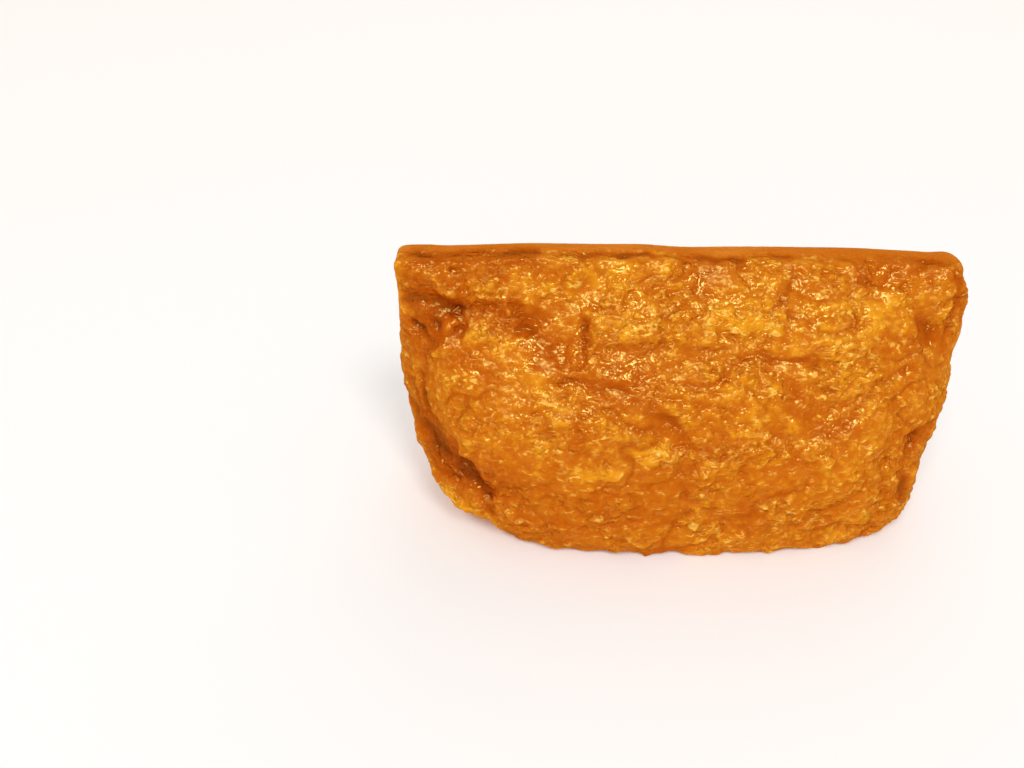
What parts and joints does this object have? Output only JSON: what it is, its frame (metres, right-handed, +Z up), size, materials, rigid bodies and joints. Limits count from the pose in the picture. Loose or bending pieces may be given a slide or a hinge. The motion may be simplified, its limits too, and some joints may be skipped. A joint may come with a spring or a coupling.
{
  "type": "inari sushi",
  "caption": "Pouch of simmered fried tofu packed with rice, standing on its folded mouth, with the sheet's smooth side wall as a band along the top.",
  "frame": {"origin": "on the surface that the piece stands on, under the middle of its length and of its depth", "axes": "+X along the band from the piece's left end to its right end, -Y out of the front face, +Z up"},
  "size_m": [0.0806, 0.0372, 0.0407],
  "materials": {
    "tofu_skin": "wet, knobbly fried tofu skin, amber to yellow, red-brown in its folds, satin with small glints"
  },
  "bodies": {
    "root": {"inari_pouch": "tofu_skin"}
  },
  "joints": []
}
